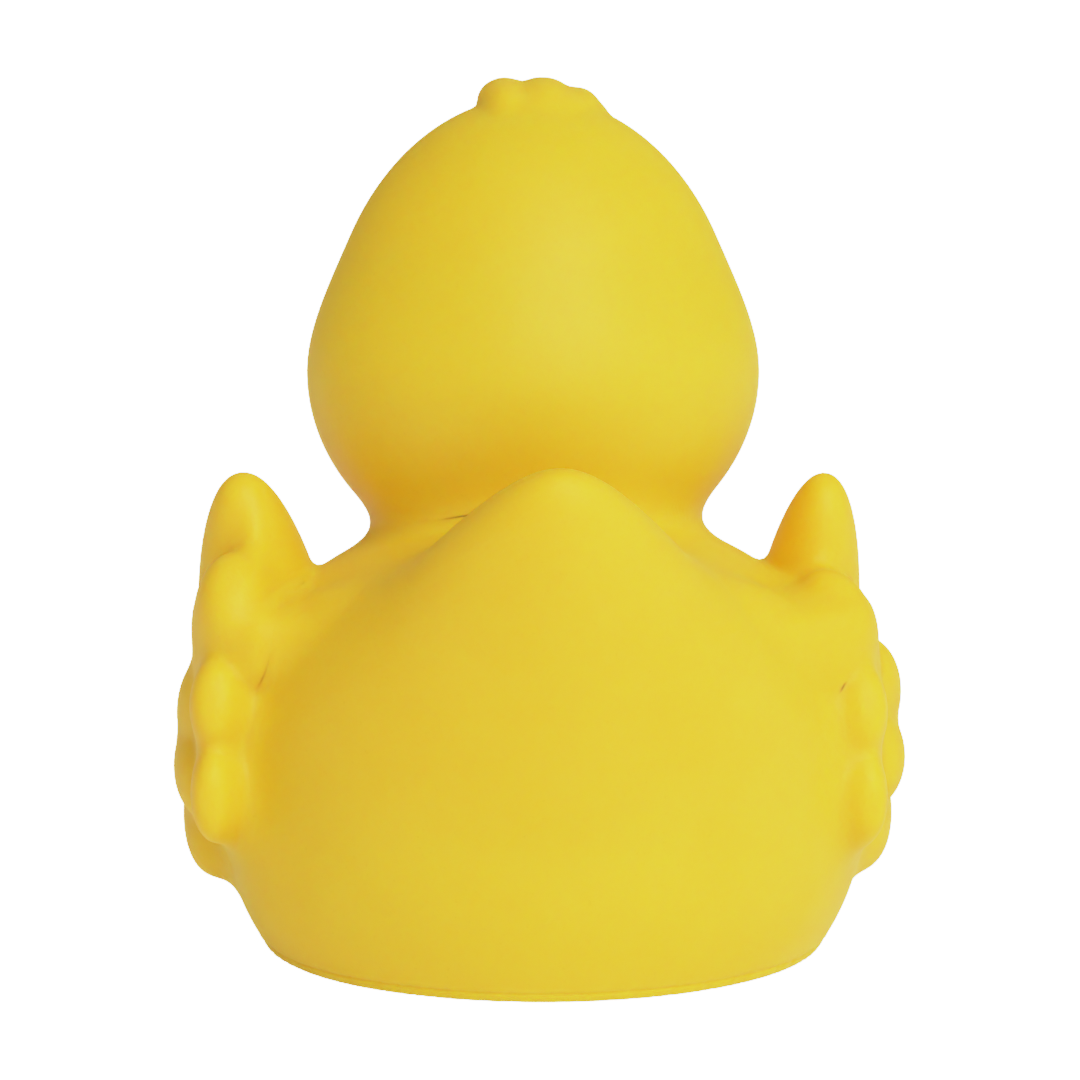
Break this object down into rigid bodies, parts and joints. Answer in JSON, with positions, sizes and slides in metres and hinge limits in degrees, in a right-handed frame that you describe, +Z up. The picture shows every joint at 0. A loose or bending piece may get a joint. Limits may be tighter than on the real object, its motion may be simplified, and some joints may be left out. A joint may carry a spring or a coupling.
{
  "type": "rubber duck",
  "caption": "Hollow soft-vinyl bath duck with a round body, raised feathered wings, upturned tail and a tuft, standing on a flat base",
  "frame": {"origin": "on the floor under the middle of the duck's outline", "axes": "+Z up, the duck faces -Y and its tail points to +Y, +X to its left"},
  "size_m": [0.0752, 0.079, 0.0876],
  "materials": {
    "yellow_vinyl": "matte moulded"
  },
  "bodies": {
    "root": {"duck_body": "yellow_vinyl"}
  },
  "joints": []
}
